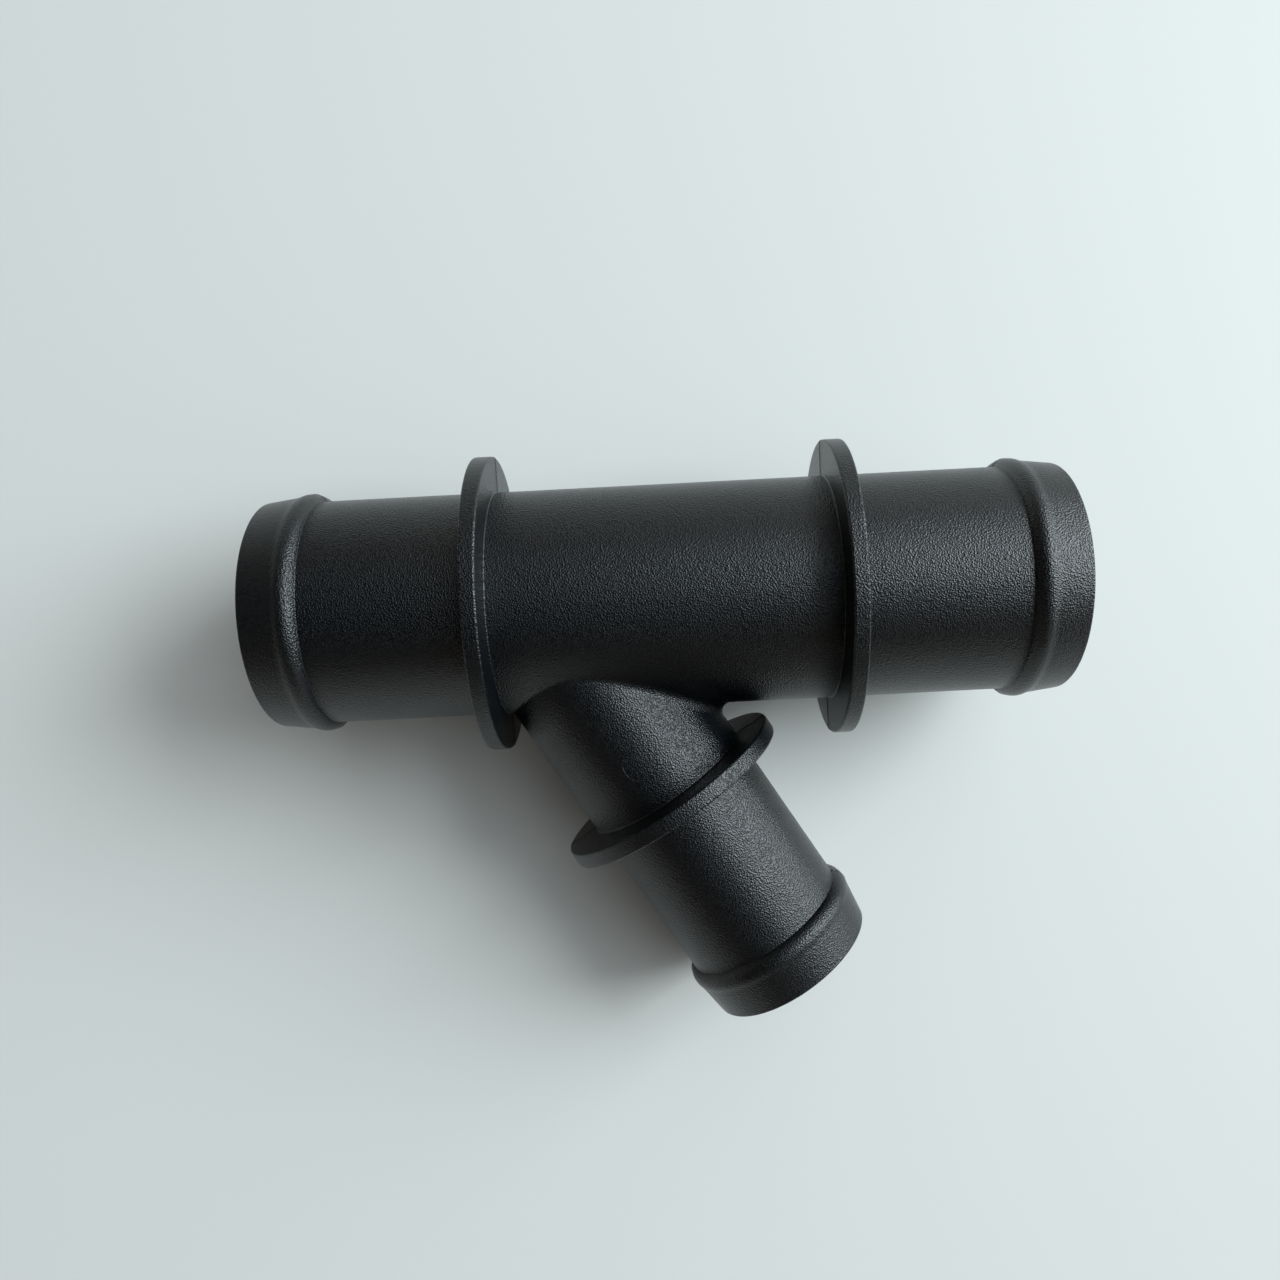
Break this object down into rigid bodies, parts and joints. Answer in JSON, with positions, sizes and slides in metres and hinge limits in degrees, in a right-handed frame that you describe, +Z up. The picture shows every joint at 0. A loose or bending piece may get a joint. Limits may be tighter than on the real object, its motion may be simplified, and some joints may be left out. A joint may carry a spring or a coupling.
{
  "type": "tubing Y connector",
  "caption": "Black moulded nylon Y connector: straight run with a smaller slanted branch, beaded hose spigots and hose-stop collars.",
  "frame": {"origin": "where the branch's axis crosses the run's axis, in the run's bore", "axes": "+X along the run, away from the branch's root and towards the far run spigot; +Z up from the table that it lies on; the branch leaves towards -Y and dips by the resting tilt"},
  "size_m": [0.1114, 0.0832, 0.0422],
  "materials": {
    "moulded_nylon": "matte, spark-eroded mould texture"
  },
  "bodies": {
    "root": {"y_connector": "moulded_nylon"}
  },
  "joints": []
}
